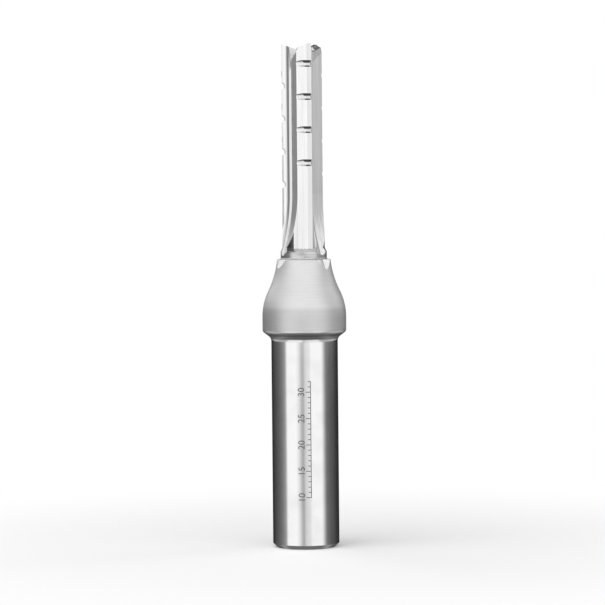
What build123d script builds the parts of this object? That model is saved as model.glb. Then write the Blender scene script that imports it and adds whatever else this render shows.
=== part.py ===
from build123d import *

import os
from math import cos, radians, sin, sqrt, tan

# A straight router bit for a half inch collet, with a solid carbide head of three teeth brazed into a steel body.
# It stands on the end of its shank. The origin is the middle of that end face, and +Z runs up to the tip.
# All sizes are in millimetres, and all angles are in degrees.

# Heights along the bit
shank_length = 40.0  # end face to the foot of the collar
collar_length = 15.0  # foot of the collar to its top face
head_length = 41.0  # top face of the collar to the tip
neck_height = 1.5  # rough blank left standing above the collar

# Steel body
shank_diameter = 12.7  # half inch
shank_end_chamfer = 0.8
shank_fillet = 1.2  # shank into the underside of the collar
collar_diameter = 16.0
collar_band = 2.85  # straight band round the widest part
collar_top_diameter = 10.2
underside_angle = 37.0  # cone under the collar, from level
lip_fillet = 0.8
crown_radius = 11.0  # convex arc from the band upwards
crown_turn = 26.5  # how far that arc leans in before the hollow flare starts
mouth_chamfer = 0.1

# Carbide bar and its socket
cutting_diameter = 8.0
land_stock = 0.02  # left on the bar's radius outside the ground lands
blank_diameter = 8.8
blank_slope = 0.8  # height of the slope from the rough blank in to the ground bar
socket_depth = 18.0
bar_end_chamfer = 0.5
drill_point = 118.0
braze_gap = 0.1  # on the radius
braze_fillet = 0.35

# Teeth
tooth_count = 3
first_edge = -64.5  # where the first cutting edge stands, from +X
core_radius = 2.5
root_radius = 1.7
gullet_turn = 28.5  # from a cutting edge to the way its gullet opens
gullet_width = 4.2  # from the middle of the gullet to the far side of the wheel
run_out_start = 28.5  # below the tip
wheel_radius = 36.5  # of the grinding wheel that leaves the run-out
wheel_sweep = 30.0  # how far round the wheel the run-out is followed
tooth_width = 40.0  # cutting edge to heel
first_relief = 12.0  # lean of the first flat of the land
second_relief = 37.5  # lean of the second flat
second_depth = 0.15  # of the second flat, inside the cutting circle
land_end_gap = 0.2  # the lands stop this far above the rough blank

# Chip-breaker notches
notch_count = 4
notch_first = 3.9  # below the tip, on the first tooth
notch_pitch = 6.25
notch_radius = 0.64
notch_depth = 0.5
notch_fall = 17.0  # the notch runs out towards the heel at this angle

# End of the head
dish_angle = 20.0
end_land = 0.8  # flat behind each end edge
end_land_fall = 0.03
end_hollow_width = 2.1
end_hollow_depth = 0.4
gash_heel_depth = 1.65  # below the tip, at the heel
gash_root_depth = 3.5  # below the tip, on the middle of the gullet
gash_lean = 22.0  # from upright

# Worked out from the sizes above
shank_radius = shank_diameter / 2
collar_radius = collar_diameter / 2
collar_top_radius = collar_top_diameter / 2
cutting_radius = cutting_diameter / 2
bar_radius = cutting_radius + land_stock
blank_radius = blank_diameter / 2
socket_radius = blank_radius + braze_gap
collar_top = shank_length + collar_length
neck_top = collar_top + neck_height
tip = collar_top + head_length
run_out = tip - run_out_start
socket_floor = collar_top - socket_depth
bar_foot = socket_floor + braze_gap
drill_floor = socket_floor - socket_radius / tan(radians(drill_point / 2))
band_foot = shank_length + (collar_radius - shank_radius) * tan(radians(underside_angle))
band_top = band_foot + collar_band
clear = 1.0  # how far a cutter runs past what it cuts

# Steel body: shank and collar turned in one piece, with the socket drilled from the top
with BuildPart() as steel_body:
    with BuildSketch(Plane.XZ) as body_section:
        with BuildLine():
            Polyline(
                (0, collar_top),
                (0, 0),
                (shank_radius, 0),
                (shank_radius, shank_length),
                (collar_radius, band_foot),
                (collar_radius, band_top),
            )
            crown = JernArc((collar_radius, band_top), (0, 1), crown_radius, crown_turn)
            TangentArc(crown @ 1, (collar_top_radius, collar_top), tangent=crown % 1)
            Line((collar_top_radius, collar_top), (0, collar_top))
        make_face()
        corners = body_section.vertices()
        chamfer(corners.sort_by_distance((shank_radius, 0, 0))[0], shank_end_chamfer)
        corners = body_section.vertices()
        fillet(corners.sort_by_distance((shank_radius, shank_length, 0))[0], shank_fillet)
        corners = body_section.vertices()
        fillet(corners.sort_by_distance((collar_radius, band_foot, 0))[0], lip_fillet)
        corners = body_section.vertices()
        chamfer(corners.sort_by_distance((collar_top_radius, collar_top, 0))[0], mouth_chamfer)
    revolve(axis=Axis.Z)
    with BuildSketch(Plane.XZ):
        with BuildLine():
            Polyline(
                (0, drill_floor),
                (socket_radius, socket_floor),
                (socket_radius, collar_top + clear),
                (0, collar_top + clear),
                close=True,
            )
        make_face()
    revolve(axis=Axis.Z, mode=Mode.SUBTRACT)

# Braze: what set in the gap round the bar and under it, and the small fillet it drew at the mouth
with BuildPart() as braze_joint:
    with BuildSketch(Plane.XZ):
        with BuildLine():
            Polyline(
                (blank_radius, collar_top + braze_fillet),
                (blank_radius, bar_foot + bar_end_chamfer),
                (blank_radius - bar_end_chamfer, bar_foot),
                (0, bar_foot),
                (0, drill_floor),
                (socket_radius, socket_floor),
                (socket_radius, collar_top),
                (blank_radius + braze_fillet, collar_top),
            )
            RadiusArc(
                (blank_radius + braze_fillet, collar_top),
                (blank_radius, collar_top + braze_fillet),
                braze_fillet,
            )
        make_face()
    revolve(axis=Axis.Z)

# Tools that shape the head. Each is set for a tooth whose cutting edge is on +X, with its gullet ahead of it.
# The gullet's own frame has its x the way the gullet opens.
gullet_frame = Plane(
    origin=(0, 0, 0),
    x_dir=(cos(radians(gullet_turn)), sin(radians(gullet_turn)), 0),
    z_dir=(0, 0, 1),
)
rake_slope = tan(radians(gullet_turn))
gullet_outer = collar_radius + clear

# The wheel's own section: a flat rim, a rounded corner and a side that grinds the rake face
with BuildSketch(gullet_frame.offset(run_out)) as wheel_section:
    with BuildLine():
        Polyline(
            (gullet_outer, -gullet_outer * rake_slope),
            (core_radius, -core_radius * rake_slope),
            (core_radius, gullet_width),
            (gullet_outer, gullet_width),
            close=True,
        )
    make_face()
    fillet(wheel_section.vertices().sort_by_distance((0, 0, 0))[0], root_radius)

# The wheel lifts out of the gullet as it meets the shank end, round an axle across the gullet
wheel_axle = Axis(
    gullet_frame.from_local_coords((core_radius + wheel_radius, 0, run_out)),
    -gullet_frame.y_dir,
)

# The gash deepens the heel's half of each gullet at the tip, and leaves a leaning flat up to the heel
heel_radius = (cutting_radius - second_depth) / cos(radians(tooth_width - second_relief))
heel_offset = sqrt(heel_radius**2 - core_radius**2)
gash_root = gullet_frame.from_local_coords((core_radius, 0, tip - gash_root_depth))
gash_heel = gullet_frame.from_local_coords((core_radius, heel_offset, tip - gash_heel_depth))
gash_climb = gullet_frame.x_dir * -sin(radians(gash_lean)) + Vector(0, 0, cos(radians(gash_lean)))
gash_across = gash_heel - gash_root
gash_plane = Plane(origin=gash_root, x_dir=gash_across, z_dir=gash_across.cross(gash_climb))

with BuildPart() as gash_tool:
    with BuildSketch(gullet_frame.offset(tip - 2 * gash_root_depth)):
        with Locations((-core_radius, 0)):
            Rectangle(
                2 * core_radius + cutting_radius,
                cutting_radius + clear,
                align=(Align.MIN, Align.MIN),
            )
    extrude(amount=2 * gash_root_depth + clear)
    split(bisect_by=gash_plane, keep=Keep.TOP)

with BuildPart() as gullet_tool:
    extrude(wheel_section.sketch, amount=tip + clear - run_out)
    revolve(wheel_section.sketch, axis=wheel_axle, revolution_arc=wheel_sweep)
    add(gash_tool.part)

# The end face behind each end edge: a narrow land, then a hollow, all sloping down to the middle
end_edge = Vector(cos(radians(dish_angle)), 0, sin(radians(dish_angle)))
end_plane = Plane(
    origin=Vector(cutting_radius, 0, tip) + end_edge * clear,
    x_dir=(0, -1, 0),
    z_dir=-end_edge,
)
end_lead = 0.2  # the land's slope is carried this far ahead of the edge
end_rise = end_lead * end_land_fall / end_land
with BuildPart() as end_tool:
    with BuildSketch(end_plane):
        with BuildLine():
            Polyline(
                (end_land, -end_land_fall),
                (-end_lead, end_rise),
                (-core_radius, end_rise),
                (-core_radius, 2 * clear),
                (end_land + end_hollow_width, 2 * clear),
                (end_land + end_hollow_width, -end_land_fall),
            )
            ThreePointArc(
                (end_land + end_hollow_width, -end_land_fall),
                (end_land + end_hollow_width / 2, -end_hollow_depth),
                (end_land, -end_land_fall),
            )
        make_face()
    extrude(amount=clear + cutting_radius / cos(radians(dish_angle)) + end_lead)

# A notch is ground straight across the land, and runs out towards the heel
notch_run = Vector(-sin(radians(notch_fall)), -cos(radians(notch_fall)), 0)
with BuildPart() as notch_tool:
    with BuildSketch(
        Plane(
            origin=Vector(cutting_radius - notch_depth, 0, 0) - notch_run * clear,
            x_dir=(cos(radians(notch_fall)), -sin(radians(notch_fall)), 0),
            z_dir=notch_run,
        )
    ):
        with Locations((notch_radius, 0)):
            Circle(notch_radius)
    extrude(amount=cutting_radius + clear)

# Carbide cutter: a round blank, ground to three relieved teeth above the neck
with BuildPart() as carbide_cutter:
    with BuildSketch(Plane.XZ):
        with BuildLine():
            Polyline(
                (0, bar_foot),
                (blank_radius - bar_end_chamfer, bar_foot),
                (blank_radius, bar_foot + bar_end_chamfer),
                (blank_radius, neck_top),
                (bar_radius, neck_top + blank_slope),
                (bar_radius, tip),
                (0, tip),
                close=True,
            )
        make_face()
    revolve(axis=Axis.Z)
    # Two flats relieve each land behind its cutting edge
    first_distance = cutting_radius * cos(radians(first_relief))
    second_distance = cutting_radius - second_depth
    with BuildSketch(Plane.XY.offset(neck_top + land_end_gap)):
        for lean, distance in ((first_relief, first_distance), (second_relief, second_distance)):
            with PolarLocations(distance, tooth_count, start_angle=first_edge - lean):
                Rectangle(clear, cutting_diameter, align=(Align.MIN, Align.CENTER))
    extrude(amount=tip + clear, mode=Mode.SUBTRACT)
    with PolarLocations(0, tooth_count, start_angle=first_edge):
        add(gullet_tool.part, mode=Mode.SUBTRACT)
        add(end_tool.part, mode=Mode.SUBTRACT)
    # The notches step down by a share of their pitch from tooth to tooth, so that every height is cut by some tooth
    for tooth in range(tooth_count):
        edge_angle = first_edge + tooth * 360 / tooth_count
        for step in range(notch_count):
            notch_height = tip - notch_first - notch_pitch * (step + tooth / tooth_count)
            with Locations(Location((0, 0, notch_height), (0, 0, edge_angle))):
                add(notch_tool.part, mode=Mode.SUBTRACT)

# The gullet wheel runs on past the bar, and nicks the rim of the collar and the braze
for nicked in (steel_body, braze_joint):
    with nicked:
        with PolarLocations(0, tooth_count, start_angle=first_edge):
            add(gullet_tool.part, mode=Mode.SUBTRACT)

os.makedirs("parts", exist_ok=True)
steel_body.part.label = "steel_body"
export_step(steel_body.part, "parts/steel_body.step")
carbide_cutter.part.label = "carbide_cutter"
export_step(carbide_cutter.part, "parts/carbide_cutter.step")
braze_joint.part.label = "braze_joint"
export_step(braze_joint.part, "parts/braze_joint.step")
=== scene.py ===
# Looks, light and camera for the straight router bit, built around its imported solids.
import math

import bmesh
import bpy
from mathutils import Matrix, Vector


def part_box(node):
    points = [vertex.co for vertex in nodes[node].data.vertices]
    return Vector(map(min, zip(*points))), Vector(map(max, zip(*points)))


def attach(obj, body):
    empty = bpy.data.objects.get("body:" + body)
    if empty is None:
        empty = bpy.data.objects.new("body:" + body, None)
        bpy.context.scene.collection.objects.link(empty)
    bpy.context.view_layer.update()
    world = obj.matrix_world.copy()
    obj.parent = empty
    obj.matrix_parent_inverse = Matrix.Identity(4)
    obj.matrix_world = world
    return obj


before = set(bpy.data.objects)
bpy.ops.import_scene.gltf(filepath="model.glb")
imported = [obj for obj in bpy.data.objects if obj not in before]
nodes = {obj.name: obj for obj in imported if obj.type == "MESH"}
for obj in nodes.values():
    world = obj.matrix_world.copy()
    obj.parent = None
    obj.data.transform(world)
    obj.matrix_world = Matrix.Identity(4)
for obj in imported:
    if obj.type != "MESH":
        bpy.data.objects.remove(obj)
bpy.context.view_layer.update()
mm = 0.001  # the solids' millimetre in metres

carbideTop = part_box("carbide_cutter")[1].z / mm
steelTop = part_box("steel_body")[1].z / mm

# where the tool's own zones begin and end, in millimetres from the shank's end
bit = {
    "shankRadius": 6.35,
    "filletFoot": 39.75,
    "lipFoot": 41.0,
    "lipTop": 41.65,
    "neckTop": steelTop + 1.5,
    "landFoot": steelTop + 1.7,
    "groundRadius": 4.02,  # of the ground bar between the lands
}


class Wire:
    # an output socket that works in Python expressions: each operator adds its own node

    def __init__(self, graph, socket):
        self.graph = graph
        self.socket = socket

    def __add__(self, other):
        return self.graph.work("ADD", self, other)

    def __radd__(self, other):
        return self.graph.work("ADD", other, self)

    def __sub__(self, other):
        return self.graph.work("SUBTRACT", self, other)

    def __rsub__(self, other):
        return self.graph.work("SUBTRACT", other, self)

    def __mul__(self, other):
        return self.graph.work("MULTIPLY", self, other)

    def __rmul__(self, other):
        return self.graph.work("MULTIPLY", other, self)

    def __truediv__(self, other):
        return self.graph.work("DIVIDE", self, other)

    def __rtruediv__(self, other):
        return self.graph.work("DIVIDE", other, self)


class Graph:
    # the node tree of one material or of the world

    def __init__(self, owner):
        owner.use_nodes = True
        self.tree = owner.node_tree
        self.tree.nodes.clear()

    def node(self, kind, settings, sockets, output=0):
        # adds one node: its settings first, then the values or links of its sockets
        made = self.tree.nodes.new(kind)
        for name, value in settings.items():
            if name == "stops":
                self.setStops(made.color_ramp, value)
            else:
                setattr(made, name, value)
        for key, value in sockets.items():
            if isinstance(value, Wire):
                self.tree.links.new(value.socket, made.inputs[key])
            else:
                made.inputs[key].default_value = value
        if not made.outputs:
            return None
        return Wire(self, made.outputs[output])

    def setStops(self, ramp, stops):
        while len(ramp.elements) > 1:
            ramp.elements.remove(ramp.elements[-1])
        ramp.elements[0].position = stops[0][0]
        ramp.elements[0].color = grey(stops[0][1])
        for position, level in stops[1:]:
            ramp.elements.new(position).color = grey(level)

    def work(self, operation, first, second):
        # numbers go through Math, colours and points through Vector Math
        values = [first, second]
        wires = [value for value in values if isinstance(value, Wire)]
        if any(wire.socket.type in ("VECTOR", "RGBA") for wire in wires):
            values = [value if isinstance(value, Wire) else (value,) * 3 for value in values]
            return self.node("ShaderNodeVectorMath", {"operation": operation}, dict(enumerate(values)))
        return self.math(operation, *values)

    def math(self, operation, *values):
        return self.node("ShaderNodeMath", {"operation": operation}, dict(enumerate(values)))

    def root(self, value):
        return self.math("SQRT", value)

    def rise(self, value, low, high):
        # 0 below low, 1 above high, with a smooth step between
        sockets = {"Value": value, "From Min": low, "From Max": high}
        return self.node("ShaderNodeMapRange", {"interpolation_type": "SMOOTHSTEP"}, sockets)

    def step(self, value, middle, half):
        return self.rise(value, middle - half, middle + half)

    def within(self, value, low, high, soft):
        return self.rise(value, low, low + soft) * (1 - self.rise(value, high - soft, high))

    def slope(self, value, low, high, first=0.0, last=1.0):
        # an even passage from first at low to last at high
        sockets = {"Value": value, "From Min": low, "From Max": high, "To Min": first, "To Max": last}
        return self.node("ShaderNodeMapRange", {"interpolation_type": "LINEAR"}, sockets)

    def mixColour(self, factor, first, second):
        sockets = {0: factor, 6: first, 7: second}
        return self.node("ShaderNodeMix", {"data_type": "RGBA"}, sockets, output=2)

    def mixValue(self, factor, first, second):
        return self.node("ShaderNodeMix", {"data_type": "FLOAT"}, {0: factor, 2: first, 3: second})

    def mixShader(self, factor, first, second):
        return self.node("ShaderNodeMixShader", {}, {0: factor, 1: first, 2: second})

    def tones(self, pattern, low, high, first, second):
        # one grey where the pattern is below low, another where it is above high
        return self.mixColour(self.rise(pattern, low, high), grey(first), grey(second))

    def noise(self, vector, scale, detail=2.0, roughness=0.5):
        sockets = {"Vector": vector, "Scale": scale, "Detail": detail, "Roughness": roughness}
        return self.node("ShaderNodeTexNoise", {}, sockets)

    def bump(self, height, strength, distance, normal=None):
        sockets = {"Height": height, "Strength": strength, "Distance": distance * mm}
        if normal:
            sockets["Normal"] = normal
        return self.node("ShaderNodeBump", {}, sockets)

    def split(self, vector):
        made = self.tree.nodes.new("ShaderNodeSeparateXYZ")
        self.tree.links.new(vector.socket, made.inputs[0])
        return [Wire(self, socket) for socket in made.outputs]

    def join(self, x, y, z):
        return self.node("ShaderNodeCombineXYZ", {}, {0: x, 1: y, 2: z})

    def objectPoint(self):
        return self.node("ShaderNodeTexCoord", {}, {}, output="Object")

    def finish(self, shader, kind="ShaderNodeOutputMaterial"):
        self.node(kind, {}, {"Surface": shader})


class Spot:
    # the point on the tool that is being coloured: millimetres, and radians round the axis

    def __init__(self, graph):
        self.place = graph.objectPoint() * (1 / mm)
        self.x, self.y, self.z = graph.split(self.place)
        self.radius = graph.root(self.x * self.x + self.y * self.y)
        self.turn = graph.math("ARCTAN2", self.x, self.y)


def grey(level):
    return (level, level, level, 1.0)


def newMaterial(name):
    material = bpy.data.materials.new(name)
    return material, Graph(material)


def paint(obj, material):
    for slot in obj.material_slots:
        slot.material = material
    if not obj.material_slots:
        obj.data.materials.append(material)


def metal(graph, colour, roughness, normal):
    sockets = {"Base Color": colour, "Metallic": 1.0, "Roughness": roughness, "Normal": normal}
    return graph.node("ShaderNodeBsdfPrincipled", {}, sockets)


def turnedLines(graph, spot, wander, toMillimetre, roughness=0.6):
    # fine lines round the axis, as a lathe or a grinder leaves them
    return graph.noise(graph.join(spot.turn * wander, 0.0, spot.z * toMillimetre), 1.0, 4.0, roughness)


def longStreaks(graph, spot, across, along, detail, roughness=0.5):
    # streaks that run up the tool, so many to a millimetre across it and along it
    stretched = graph.join(spot.x * across, spot.y * across, spot.z * along)
    return graph.noise(stretched, 1.0, detail, roughness)


# the wheel that ground the three gullets, and nicked the neck and the collar's rim as it ran on
wheel = {
    "radius": 36.5,
    "axleOut": 39.0,
    "axleHeight": carbideTop - 28.5,
    "turns": (-36.0, 84.0, 204.0),  # degrees from +X
    "edge": 0.03,
}


def wheelMask(graph, spot):
    # 1 where the wheel has cut the surface fresh; above its axle its path goes straight up
    drop = graph.math("MAXIMUM", wheel["axleHeight"] - spot.z, 0.0)
    nearest = None
    for turn in wheel["turns"]:
        angle = math.radians(turn)
        outward = spot.x * math.cos(angle) + spot.y * math.sin(angle) - wheel["axleOut"]
        distance = graph.root(outward * outward + drop * drop)
        nearest = distance if nearest is None else graph.math("MINIMUM", nearest, distance)
    return 1 - graph.rise(nearest, wheel["radius"] + wheel["edge"], wheel["radius"] + 2 * wheel["edge"])


shank = {
    "colour": 0.80,
    "wornColour": 0.74,
    "wearScale": 0.22,
    "wearRange": (0.42, 0.72),
    "roughness": 0.09,
    "smearRoughness": 0.05,
    "smear": (1.5, 0.12),  # to a millimetre, across the shank and along it
    "lines": 9.0,  # grinding lines to a millimetre
    "lineWander": 0.4,
    "lineRoughness": 0.02,
    "lineHeight": 0.0006,
}


def shankFinish(graph, spot):
    # centreless-ground steel: rings too fine to count, and a little handling wear
    lines = turnedLines(graph, spot, shank["lineWander"], shank["lines"])
    wear = graph.noise(spot.place, shank["wearScale"], 3.0)
    smear = longStreaks(graph, spot, *shank["smear"], 3.0)
    colour = graph.tones(wear, *shank["wearRange"], shank["colour"], shank["wornColour"])
    roughness = shank["roughness"] + smear * shank["smearRoughness"] + lines * shank["lineRoughness"]
    return metal(graph, colour, roughness, graph.bump(lines, 1.0, shank["lineHeight"]))


collar = {
    "bandColour": 0.66,
    "litFlareColour": 0.78,
    "flareFoot": 45.8,  # the flare's painted light begins here, a little above the band
    "flareFade": 0.5,
    "cloudScale": 0.35,
    "cloudDepth": 0.05,
    "brushing": 2.6,  # turning marks to a millimetre, still seen through the blasting
    "brushingWander": 0.7,
    "brushingRange": (0.35, 0.7),
    "brushingDepth": 0.045,
    "roughness": 0.42,
    "grain": 7.0,  # blasted dimples to a millimetre
    "grainRoughness": 0.1,
    "grainHeight": 0.012,
    "lipColour": 0.80,
    "lipRoughness": 0.30,
    "lipFade": 0.25,
}


def collarFinish(graph, spot):
    # bead-blasted steel, with the lip rubbed bright, and the flare painted paler as painted light where it
    # faces up to the light
    grain = graph.noise(spot.place, collar["grain"], 3.0, 0.6)
    cloud = graph.noise(spot.place, collar["cloudScale"], 3.0)
    brushing = turnedLines(graph, spot, collar["brushingWander"], collar["brushing"])
    lip = 1 - graph.rise(spot.z, bit["lipTop"] - collar["lipFade"], bit["lipTop"])
    # painted light: the flare, which faces up to the light, is painted paler than the band
    flare = graph.step(spot.z, collar["flareFoot"], collar["flareFade"])
    colour = graph.mixColour(flare, grey(collar["bandColour"]), grey(collar["litFlareColour"]))
    colour = graph.mixColour(lip, colour, grey(collar["lipColour"])) * (1 - cloud * collar["cloudDepth"])
    colour = colour * (1 - graph.rise(brushing, *collar["brushingRange"]) * collar["brushingDepth"])
    roughness = collar["roughness"] + grain * collar["grainRoughness"]
    roughness = graph.mixValue(lip, roughness, collar["lipRoughness"])
    return metal(graph, colour, roughness, graph.bump(grain, 0.5, collar["grainHeight"]))


underside = {
    "colour": 0.62,
    "ringColour": 0.527,
    "rings": 9.0,  # to a millimetre
    "ringRoughness": 0.08,
    "ringHeight": 0.01,
    "roughness": 0.28,
    "shade": 0.35,  # painted shade, between the two painted highlights
    "lowHighlight": (0.4, 0.8, 0.15),  # painted highlight: from and to above the fillet's foot, and how softly
    "highHighlight": 0.3,  # painted highlight, below the lip's foot
}


def undersideFinish(graph, spot):
    # turned steel under the collar, down to the foot of the fillet, darkened by painted shade except for
    # two lighter bands of painted highlight
    inRings = graph.join(spot.radius * underside["rings"], spot.z * underside["rings"], 0.0)
    rings = graph.noise(inRings, 1.0, 3.0)
    colour = graph.mixColour(rings, grey(underside["colour"]), grey(underside["ringColour"]))
    # painted highlight: lighter bands at the top of the fillet and under the lip; painted shade darkens
    # the underside between them
    ridge = graph.within(spot.z - bit["filletFoot"], *underside["lowHighlight"])
    ridge = ridge + graph.rise(spot.z, bit["lipFoot"] - underside["highHighlight"], bit["lipFoot"])
    colour = colour * (1 - (1 - ridge) * underside["shade"])
    roughness = underside["roughness"] + rings * underside["ringRoughness"]
    return metal(graph, colour, roughness, graph.bump(rings, 0.5, underside["ringHeight"]))


freshCut = {
    "colour": 0.92,
    "streakColour": 0.86,
    "roughness": 0.20,
    "streaks": (6.0, 0.4),  # to a millimetre, across the tool and along it
    "streakRange": (0.3, 0.7),
    "streakRoughness": 0.08,
    "streakHeight": 0.002,
}


def freshCutFinish(graph, spot):
    # steel or braze where the gullets' wheel has just gone through
    streaks = longStreaks(graph, spot, *freshCut["streaks"], 3.0)
    colour = graph.tones(streaks, *freshCut["streakRange"], freshCut["colour"], freshCut["streakColour"])
    roughness = freshCut["roughness"] + streaks * freshCut["streakRoughness"]
    return metal(graph, colour, roughness, graph.bump(streaks, 1.0, freshCut["streakHeight"]))


def makeSteel():
    material, graph = newMaterial("steelBody")
    spot = Spot(graph)
    # each finish passes into the next over a tenth or two of a millimetre
    aboveFillet = graph.rise(spot.z, bit["filletFoot"], bit["filletFoot"] + 0.2)
    aboveLip = graph.rise(spot.z, bit["lipFoot"], bit["lipFoot"] + 0.1)
    steel = graph.mixShader(aboveFillet, shankFinish(graph, spot), undersideFinish(graph, spot))
    steel = graph.mixShader(aboveLip, steel, collarFinish(graph, spot))
    steel = graph.mixShader(wheelMask(graph, spot), steel, freshCutFinish(graph, spot))
    graph.finish(steel)
    return material


# the teeth: degrees from +X or behind each cutting edge, and millimetres
tooth = {
    "firstEdge": -64.5,
    "pitch": 120.0,
    "flats": ((12.0, 3.9126), (37.5, 3.85)),  # lean, and distance from the axis
    "heel": 40.0,
    "rawEnd": 85.0,  # the blank's raw round ends here, in the gullet
    "notchFirst": carbideTop - 3.9,
    "notchPitch": 6.25,
    "notchTop": carbideTop - 2.5,  # above this the end of the head begins
    "notchEnd": carbideTop - 28.2,  # and below this it has no notches
}


def toothTurn(graph, spot):
    # degrees behind the nearest cutting edge, and that tooth's number
    turn = graph.math("ARCTAN2", spot.y, spot.x) * (180 / math.pi) - tooth["firstEdge"]
    behind = graph.math("FLOORED_MODULO", 0 - turn, tooth["pitch"])
    return behind, (turn + behind) / tooth["pitch"]


def notchDistance(graph, spot, number):
    # millimetres above the middle of the nearest notch of that tooth
    turns = (tooth["notchFirst"] - spot.z) / tooth["notchPitch"] - number / 3 + 0.5
    return (0.5 - graph.math("FLOORED_MODULO", turns, 1.0)) * tooth["notchPitch"]


notchWall = {
    "under": (0.02, 0.05),  # depth below the lands where a notch begins
    "shallowFrom": (19.0, 25.0),  # degrees behind the edge, where its deep half ends
    "upperFoot": 0.12,  # above the notch's middle
    "upperFade": 0.08,
    "shallowLift": 0.25,  # the upper wall starts this much higher on the second flat
    "lowerRim": -0.49,
    "lowerTurns": (4.0, 17.0, 4.0),  # from, to, and how softly it ends
    "lowerStrength": 0.5,
    "brushedLitFrom": (15.0, 18.0),
    # painted shade for the upper walls and the lower rims' line, and painted light for the shallow lower
    # walls
    "notchShadeColour": 0.10,
    "notchShadeRoughness": 0.5,
    "paintedLightColour": 0.95,
    "brushedRoughness": 0.6,
}


def notchMasks(graph, spot, behind, number):
    # in the notches: painted shade on the upper wall, and a painted shadow line at the lower rim of the
    # deep half;
    # and the brushed lower wall of the shallow half, painted pale as painted light
    radians = behind * (math.pi / 180)
    depth = None
    for lean, distance in tooth["flats"]:
        flat = distance - spot.radius * graph.math("COSINE", radians - math.radians(lean))
        depth = flat if depth is None else graph.math("MINIMUM", depth, flat)
    inside = graph.rise(depth, *notchWall["under"]) * graph.within(behind, 0.0, tooth["heel"] + 2, 0.5)
    inside = inside * (1 - graph.rise(spot.z, tooth["notchTop"] - 0.1, tooth["notchTop"]))
    above = notchDistance(graph, spot, number)
    shallow = graph.rise(behind, *notchWall["shallowFrom"])
    foot = notchWall["upperFoot"] + shallow * notchWall["shallowLift"]
    upper = graph.rise(above, foot, foot + notchWall["upperFade"])
    # a painted shadow line along the lower rim, on the deep half
    lower = 1 - graph.step(above, notchWall["lowerRim"], 0.03)
    lower = lower * graph.within(behind, *notchWall["lowerTurns"]) * notchWall["lowerStrength"]
    # painted light on the lower wall of the shallow half, which is also rougher
    brushedLit = (1 - graph.step(above, 0.0, 0.1)) * graph.rise(behind, *notchWall["brushedLitFrom"])
    return graph.math("MINIMUM", inside * (upper + lower), 1.0), inside * brushedLit


# painted shade: a dark line along each cutting edge and a dark arc round the rim of each notch, on the
# gullet's side
edgeLine = {
    "turn": 2.5,  # the line's width, in degrees
    "behind": (0.15, 0.4),  # it ends between these turns behind the edge
    "spreadFrom": 66.0,  # below this height it widens
    "spread": 0.4,  # degrees to a millimetre
    "radius": 3.6,
    "heights": (58.0, 84.0),
    "depths": (0.58, 0.08),  # how much darker it is at those heights
    "rimReach": 0.84,  # from the notch's own middle
    "rimRadius": 4.14,
    "rimDepth": 0.42,
    "rimHeights": (-0.6, 0.0),  # it fades out downwards, past the notch's middle
}


def edgeDulling(graph, spot, behind, number):
    spread = graph.math("MAXIMUM", edgeLine["spreadFrom"] - spot.z, 0.0) * edgeLine["spread"]
    last = tooth["pitch"] - edgeLine["turn"]
    ahead = graph.rise(behind + spread, last - 1, last)
    ahead = graph.math("MAXIMUM", ahead, 1 - graph.rise(behind, *edgeLine["behind"]))
    line = graph.slope(spot.z, *edgeLine["heights"], *edgeLine["depths"])
    line = line * graph.rise(spot.radius, edgeLine["radius"], edgeLine["radius"] + 0.15)
    above = notchDistance(graph, spot, number - 1)
    outward = spot.radius - edgeLine["rimRadius"]
    away = graph.root(above * above + outward * outward)
    rim = 1 - graph.rise(away, edgeLine["rimReach"], edgeLine["rimReach"] + 0.1)
    rim = rim * graph.rise(above, *edgeLine["rimHeights"]) * edgeLine["rimDepth"]
    rim = rim * graph.within(spot.z, tooth["notchEnd"], tooth["notchTop"], 0.1)
    return ahead * graph.math("MAXIMUM", line, rim)


# the low ridge that the wheel's rim left beside its corner, in one gullet
witness = {
    "turn": wheel["turns"][2],  # the gullet that has it
    "reach": (-0.6, 0.5),  # to both sides of its middle
    "start": (0.5, 1.5),  # out from the axis
    "proud": 0.75,
    "end": (90.5, 95.0),  # it fades out between these heights
}


def witnessLine(graph, spot):
    turn = math.radians(witness["turn"])
    low, high = witness["reach"]
    outward = spot.x * math.cos(turn) + spot.y * math.sin(turn)
    across = spot.y * math.cos(turn) - spot.x * math.sin(turn)
    ridge = graph.slope(across, high, low) * graph.rise(across, low - 0.1, low)
    return ridge * graph.rise(outward, *witness["start"]) * (1 - graph.rise(spot.z, *witness["end"]))


groundCarbide = {
    "colour": 0.82,
    "streakColour": 0.74,
    "roughness": 0.12,
    "streaks": (5.0, 0.10),  # to a millimetre, across the tool and along it
    "streakRange": (0.35, 0.7),
    "streakRoughness": 0.08,
    "streakHeight": 0.0015,
    "fineStreaks": (15.0, 0.3),
    "scores": (2.6, 0.03),  # the broad streaks of the gullets
    "scoreRange": (0.38, 0.62),
    "scoreDepth": 0.14,
    "rakeRadius": (3.0, 3.4),  # out here the face before each edge has no scores
    "rakeTurns": (90.0, 100.0),
    "shadedStripTurn": 13.0,  # painted shade on the strip behind each cutting edge
    "shadedStripDepth": 0.16,
}


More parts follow.
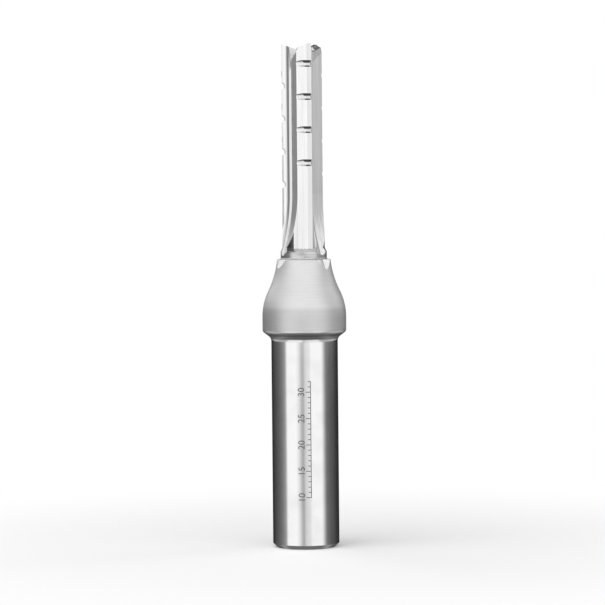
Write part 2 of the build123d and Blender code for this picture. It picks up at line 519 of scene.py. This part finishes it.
def groundCarbideFinish(graph, spot, behind, number):
    # fine streaks along the head, scores in its gullets, and painted shade on a strip behind each edge
    streaks = longStreaks(graph, spot, *groundCarbide["streaks"], 4.0, 0.6)
    fine = longStreaks(graph, spot, *groundCarbide["fineStreaks"], 2.0)
    scores = longStreaks(graph, spot, *groundCarbide["scores"], 3.0, 0.6)
    tones = groundCarbide["colour"], groundCarbide["streakColour"]
    colour = graph.tones(streaks, *groundCarbide["streakRange"], *tones)
    scored = graph.rise(scores, *groundCarbide["scoreRange"])
    scored = scored * graph.rise(behind, tooth["heel"], tooth["heel"] + 2)
    rake = graph.rise(spot.radius, *groundCarbide["rakeRadius"])
    rake = rake * graph.rise(behind, *groundCarbide["rakeTurns"])
    # painted shade on a strip behind each cutting edge
    shadedStrip = graph.within(behind, 0.5, groundCarbide["shadedStripTurn"], 1.0)
    colour = colour * (1 - scored * (1 - rake) * groundCarbide["scoreDepth"])
    # painted shade along each cutting edge and round each notch's rim
    colour = colour * (1 - edgeDulling(graph, spot, behind, number))
    colour = colour * (1 - shadedStrip * groundCarbide["shadedStripDepth"])
    notchShade, brushedLit = notchMasks(graph, spot, behind, number)
    # painted shade on the notches' upper walls and lower rims, painted light on the shallow lower walls
    colour = graph.mixColour(notchShade, colour, grey(notchWall["notchShadeColour"]))
    colour = graph.mixColour(brushedLit, colour, grey(notchWall["paintedLightColour"]))
    roughness = groundCarbide["roughness"] + streaks * groundCarbide["streakRoughness"]
    roughness = graph.mixValue(notchShade, roughness, notchWall["notchShadeRoughness"])
    roughness = graph.mixValue(brushedLit, roughness, notchWall["brushedRoughness"])
    normal = graph.bump(fine + streaks, 1.0, groundCarbide["streakHeight"])
    normal = graph.bump(witnessLine(graph, spot), 1.0, witness["proud"], normal)
    return metal(graph, colour, roughness, normal)


rawCarbide = {
    "colour": 0.66,
    "ringColour": 0.4092,
    "rings": 5.0,  # to a millimetre
    "ringRange": (0.35, 0.65),
    "ringWander": 0.8,
    "ringHeight": 0.006,
    "roughness": 0.20,
    "grain": 9.0,
    "grainShare": 0.2,  # of the rings' height
    "grainRoughness": 0.1,
    "slopeShade": 0.2,
    "patchShadeColour": 0.09,  # painted shade on the patch behind each heel
    "patchShadeDrop": 0.5,  # it reaches this far below the lands
    "patchShadeTurns": (6.0, 9.0),  # and drops between these turns behind the heel
    "patchEnd": (5.0, 6.0),  # above the foot of the lands
    "raggedScale": 3.0,  # the rough skin ends unevenly, above the foot of the lands
    "raggedDepth": 0.75,
}


def rawCarbideFinish(graph, spot, shadedPatch):
    # the blank as it came from the furnace, faintly ringed, with painted shade on the patch behind each
    # heel
    rings = turnedLines(graph, spot, rawCarbide["ringWander"], rawCarbide["rings"], 0.65)
    grain = graph.noise(spot.place, rawCarbide["grain"], 3.0)
    colour = graph.tones(rings, *rawCarbide["ringRange"], rawCarbide["colour"], rawCarbide["ringColour"])
    colour = colour * (1 - graph.step(spot.z, bit["neckTop"], 0.05) * rawCarbide["slopeShade"])
    colour = graph.mixColour(shadedPatch, colour, grey(rawCarbide["patchShadeColour"]))
    roughness = rawCarbide["roughness"] + grain * rawCarbide["grainRoughness"]
    normal = graph.bump(rings + grain * rawCarbide["grainShare"], 1.0, rawCarbide["ringHeight"])
    return metal(graph, colour, roughness, normal)


def makeCarbide():
    material, graph = newMaterial("carbideCutter")
    spot = Spot(graph)
    behind, number = toothTurn(graph, spot)
    # the bar stays raw under the lands, and in a patch of its own round behind each heel
    patch = graph.rise(spot.radius, bit["groundRadius"] - 0.03, bit["groundRadius"] - 0.01)
    patch = patch * graph.within(behind, tooth["heel"], tooth["rawEnd"], 1.0)
    # painted shade on the raw patch behind each heel, reaching below the lands
    drop = graph.rise(behind - tooth["heel"], *rawCarbide["patchShadeTurns"]) * rawCarbide["patchShadeDrop"]
    shadedPatch = patch * graph.rise(spot.z, bit["landFoot"] - drop, bit["landFoot"] + 0.1)
    patch = patch * (1 - graph.rise(spot.z - bit["landFoot"], *rawCarbide["patchEnd"]))
    ragged = graph.noise(spot.place, rawCarbide["raggedScale"], 2.0) * rawCarbide["raggedDepth"]
    below = 1 - graph.step(spot.z - ragged, bit["landFoot"], 0.05)
    rawMask = graph.math("MAXIMUM", patch, below) * (1 - wheelMask(graph, spot))
    ground = groundCarbideFinish(graph, spot, behind, number)
    graph.finish(graph.mixShader(rawMask, ground, rawCarbideFinish(graph, spot, shadedPatch)))
    return material


braze = {
    "colour": 0.66,
    "stainColour": 0.45,
    "stainScale": 4.0,
    "stainRange": (0.4, 0.7),
    "stainRoughness": 0.12,
    "roughness": 0.32,
    "lumps": 1.6,
    "lumpHeight": 0.05,
}


def makeBraze():
    # a satin silver fillet, a little uneven where it froze
    material, graph = newMaterial("silverBraze")
    spot = Spot(graph)
    lumps = graph.noise(spot.place, braze["lumps"], 3.0)
    stain = graph.noise(spot.place, braze["stainScale"], 3.0)
    colour = graph.tones(stain, *braze["stainRange"], braze["colour"], braze["stainColour"])
    roughness = braze["roughness"] + stain * braze["stainRoughness"]
    frozen = metal(graph, colour, roughness, graph.bump(lumps, 0.6, braze["lumpHeight"]))
    graph.finish(graph.mixShader(wheelMask(graph, spot), frozen, freshCutFinish(graph, spot)))
    return material


paint(nodes["steel_body"], makeSteel())
paint(nodes["carbide_cutter"], makeCarbide())
paint(nodes["braze_joint"], makeBraze())
print("finishes on the three solids")


# a plain scale up the shank, in millimetres from its end
depthScale = {
    "lowest": 10,
    "highest": 32,
    "labelEvery": 5,
    "lineWidth": 0.14,
    "shortTick": 0.55,
    "longTick": 0.95,
    "baseline": 1.05,  # arc to the right of the middle
    "numeralHeight": 1.25,
    "numeralGap": 0.25,
    "proud": 0.006,
    "cutReach": 3.0,  # arc to both sides of the middle
    "cutEvery": 0.2,  # arc between the cuts that let a flat shape follow the round
    "colour": 0.10,
    "speckColour": 0.22,
    "speckScale": 6.0,
    "speckRange": (0.35, 0.65),
    "speckHeight": 0.01,
    "roughness": 0.55,
    "speckRoughness": 0.1,
}


def makeEtching():
    material, graph = newMaterial("etchedMark")
    specks = graph.noise(graph.objectPoint() * (1 / mm), depthScale["speckScale"], 3.0)
    tones = depthScale["colour"], depthScale["speckColour"]
    colour = graph.tones(specks, *depthScale["speckRange"], *tones)
    roughness = depthScale["roughness"] + specks * depthScale["speckRoughness"]
    graph.finish(metal(graph, colour, roughness, graph.bump(specks, 0.4, depthScale["speckHeight"])))
    return material


def addBar(shape, arcLow, arcHigh, zLow, zHigh):
    corners = [(arcLow, zLow), (arcHigh, zLow), (arcHigh, zHigh), (arcLow, zHigh)]
    shape.faces.new([shape.verts.new((arc, z, 0.0)) for arc, z in corners])


def addNumeral(shape, text, arcRight, zMiddle):
    # a numeral that reads up the shank, its foot towards the ticks
    curve = bpy.data.curves.new("numeral", "FONT")
    curve.body = text
    curve.align_x = "CENTER"
    curve.size = depthScale["numeralHeight"] / 0.7  # the built-in font's numerals are 0.7 of its size
    holder = bpy.data.objects.new("numeral", curve)
    bpy.context.scene.collection.objects.link(holder)
    bpy.context.view_layer.update()
    outline = bpy.data.meshes.new_from_object(holder.evaluated_get(bpy.context.evaluated_depsgraph_get()))
    outline.transform(Matrix.Translation((arcRight, zMiddle, 0.0)) @ Matrix.Rotation(math.pi / 2, 4, "Z"))
    shape.from_mesh(outline)
    bpy.data.objects.remove(holder)
    bpy.data.curves.remove(curve)
    bpy.data.meshes.remove(outline)


def wrapRound(shape):
    # cuts the flat shape along the shank, then lays it on the round
    arc = -depthScale["cutReach"]
    while arc < depthScale["cutReach"]:
        everything = shape.verts[:] + shape.edges[:] + shape.faces[:]
        bmesh.ops.bisect_plane(shape, geom=everything, plane_co=(arc, 0, 0), plane_no=(1, 0, 0))
        arc += depthScale["cutEvery"]
    radius = bit["shankRadius"] + depthScale["proud"]
    for vertex in shape.verts:
        angle = vertex.co.x / radius
        vertex.co = Vector((radius * math.sin(angle), -radius * math.cos(angle), vertex.co.y)) * mm
    bmesh.ops.recalc_face_normals(shape, faces=shape.faces[:])


def makeDepthScale():
    shape = bmesh.new()
    right = depthScale["baseline"]
    half = depthScale["lineWidth"] / 2
    addBar(shape, right - half, right + half, depthScale["lowest"] - half, depthScale["highest"] + half)
    for z in range(depthScale["lowest"], depthScale["highest"] + 1):
        labelled = z % depthScale["labelEvery"] == 0
        length = depthScale["longTick"] if labelled else depthScale["shortTick"]
        addBar(shape, right - length, right - half, z - half, z + half)
        if labelled:
            addNumeral(shape, str(z), right - length - depthScale["numeralGap"], z)
    wrapRound(shape)
    mesh = bpy.data.meshes.new("depthScale")
    shape.to_mesh(mesh)
    shape.free()
    piece = bpy.data.objects.new("depth_scale", mesh)
    bpy.context.scene.collection.objects.link(piece)
    mesh.materials.append(makeEtching())
    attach(piece, "root")


makeDepthScale()
print("depth scale on the shank")


floor = {
    "size": 4.0,
    "colour": 0.94,
    "shadowReach": (0.03, 0.12),  # metres from the axis: real shade inside, plain white outside
}


def makeFloor():
    mesh = bpy.data.meshes.new("floor")
    half = floor["size"] / 2
    corners = [(-half, -half, 0), (half, -half, 0), (half, half, 0), (-half, half, 0)]
    mesh.from_pydata(corners, [], [(0, 1, 2, 3)])
    plane = bpy.data.objects.new("floor", mesh)
    bpy.context.scene.collection.objects.link(plane)
    material, graph = newMaterial("paleFloor")
    x, y, z = graph.split(graph.objectPoint())
    away = graph.rise(graph.root(x * x + y * y), *floor["shadowReach"])
    light = "ShaderNodeLightPath"
    shown = graph.node(light, {}, {}, "Is Camera Ray") + graph.node(light, {}, {}, "Is Glossy Ray")
    shown = shown + graph.node(light, {}, {}, "Is Transmission Ray")
    paper = graph.node("ShaderNodeBsdfDiffuse", {}, {"Color": grey(floor["colour"])})
    white = graph.node("ShaderNodeEmission", {}, {"Color": grey(1.0), "Strength": 1.0})
    graph.finish(graph.mixShader(graph.math("MINIMUM", shown, 1.0) * away, paper, white))
    mesh.materials.append(material)
    plane.visible_glossy = False


# softboxes and dark flags all round the tool, on one great dome that the camera doesn't see;
# levels are listed by degrees to the right of the camera
studio = {
    "radius": 3.0,
    "middle": 0.05,
    "full": 1.25,  # the level that the ramps' white stands for
    "shankLevels": [  # what a level line of sight finds from the shank
        (-180, 0.02),
        (-148, 0.035),
        (-118, 0.09),
        (-100, 0.14),
        (-85, 0.235),
        (-72, 0.43),
        (-65, 1.16),
        (-32, 1.18),
        (-21, 0.92),
        (-14, 0.60),
        (-9, 0.44),
        (-5, 0.50),
        (0, 0.78),
        (10, 0.90),
        (16, 0.95),
        (21, 1.16),
        (58, 1.16),
        (64, 0.90),
        (69, 0.52),
        (78, 0.18),
        (95, 0.11),
        (112, 0.08),
        (134, 0.035),
        (180, 0.02),
    ],
    "headLevels": [  # from the head
        (-180, 0.20),
        (-132, 0.32),
        (-100, 0.28),
        (-75, 0.28),
        (-63, 1.20),
        (60, 1.20),
        (76, 0.70),
        (125, 0.66),
        (150, 0.15),
        (180, 0.06),
    ],
    "skyLevels": [  # from faces that look up
        (-180, 0.15),
        (-156, 0.25),
        (-146, 1.1),
        (-130, 1.1),
        (-120, 0.65),
        (-80, 0.85),
        (-45, 1.1),
        (45, 1.1),
        (74, 0.80),
        (80, 0.50),
        (97, 0.50),
        (105, 1.1),
        (119, 1.1),
        (126, 0.35),
        (180, 0.15),
    ],
    "lowLevels": [  # from upright faces seen from above
        (-180, 0.10),
        (-153, 0.12),
        (-143, 0.35),
        (-118, 0.60),
        (-105, 0.50),
        (-75, 0.50),
        (-60, 1.05),
        (-12, 1.05),
        (-5, 0.60),
        (10, 0.90),
        (50, 1.05),
        (65, 0.50),
        (100, 0.50),
        (115, 0.60),
        (143, 0.35),
        (153, 0.12),
        (180, 0.10),
    ],
    "groundLevel": 0.18,  # from faces that look down
    # elevations in degrees where one zone passes into the next
    "groundToLow": (-60.0, -45.0),
    "lowToShank": (-12.0, -9.0),
    "shankToHead": (-2.4, -1.2),
    "headToSky": (4.0, 18.0),
    # from the floor up: where each zone begins, and its levels
    "zones": [
        ("groundToLow", "lowLevels"),
        ("lowToShank", "shankLevels"),
        ("shankToHead", "headLevels"),
        ("headToSky", "skyLevels"),
    ],
}


def levelsRound(graph, turn, levels):
    stops = [(degrees / 360 + 0.5, level / studio["full"]) for degrees, level in levels]
    return graph.node("ShaderNodeValToRGB", {"stops": stops}, {"Fac": turn})


def makeStudio():
    shape = bmesh.new()
    bmesh.ops.create_uvsphere(shape, u_segments=64, v_segments=32, radius=studio["radius"])
    mesh = bpy.data.meshes.new("studioDome")
    shape.to_mesh(mesh)
    shape.free()
    dome = bpy.data.objects.new("studioDome", mesh)
    dome.location.z = studio["middle"]
    bpy.context.scene.collection.objects.link(dome)
    material, graph = newMaterial("softboxesAndFlags")
    x, y, z = graph.split(graph.objectPoint())
    turn = graph.math("ARCTAN2", x, 0 - y) / (2 * math.pi) + 0.5
    height = graph.math("ARCTAN2", z, graph.root(x * x + y * y)) * (180 / math.pi)
    level = grey(studio["groundLevel"] / studio["full"])
    for passage, levels in studio["zones"]:
        above = graph.rise(height, *studio[passage])
        level = graph.mixColour(above, level, levelsRound(graph, turn, studio[levels]))
    graph.finish(graph.node("ShaderNodeEmission", {}, {"Color": level, "Strength": studio["full"]}))
    mesh.materials.append(material)
    dome.visible_camera = False


lamp = {
    "place": (-0.30, -0.25, 0.80),
    "size": 0.6,
    "power": 2.0,
}


def makeLamp():
    # evens out the floor and gives the tool its soft shadow
    light = bpy.data.lights.new("floorLamp", "AREA")
    light.size = lamp["size"]
    light.energy = lamp["power"]
    holder = bpy.data.objects.new("floorLamp", light)
    holder.location = lamp["place"]
    holder.rotation_euler = (-holder.location).to_track_quat("-Z", "Y").to_euler()
    holder.visible_glossy = False
    bpy.context.scene.collection.objects.link(holder)


def makeWorld():
    world = bpy.data.worlds.new("paleStudio")
    bpy.context.scene.world = world
    graph = Graph(world)
    white = graph.node("ShaderNodeBackground", {}, {"Color": grey(1.0), "Strength": 1.0})
    graph.finish(white, "ShaderNodeOutputWorld")


makeFloor()
makeStudio()
makeLamp()
makeWorld()
print("floor, softboxes, flags and lamp")


camera = {
    "distance": 0.565,  # from the tool's axis
    "eyeHeight": 0.0691,
    "aimHeight": 0.04673,
    "sideways": -0.00032,
    "roll": -0.52,  # degrees
    "lens": 176.2,
    "sensor": 36.0,
}


def makeCamera():
    lens = bpy.data.cameras.new("photoCamera")
    lens.lens = camera["lens"]
    lens.sensor_width = camera["sensor"]
    lens.clip_start = 0.01
    holder = bpy.data.objects.new("photoCamera", lens)
    holder.location = (camera["sideways"], -camera["distance"], camera["eyeHeight"])
    aim = Vector((camera["sideways"], 0.0, camera["aimHeight"])) - holder.location
    turn = aim.to_track_quat("-Z", "Y").to_matrix() @ Matrix.Rotation(math.radians(camera["roll"]), 3, "Z")
    holder.rotation_euler = turn.to_euler()
    bpy.context.scene.collection.objects.link(holder)
    bpy.context.scene.camera = holder


makeCamera()
bpy.context.scene.view_settings.view_transform = "Standard"
print("camera at the photograph's angle")
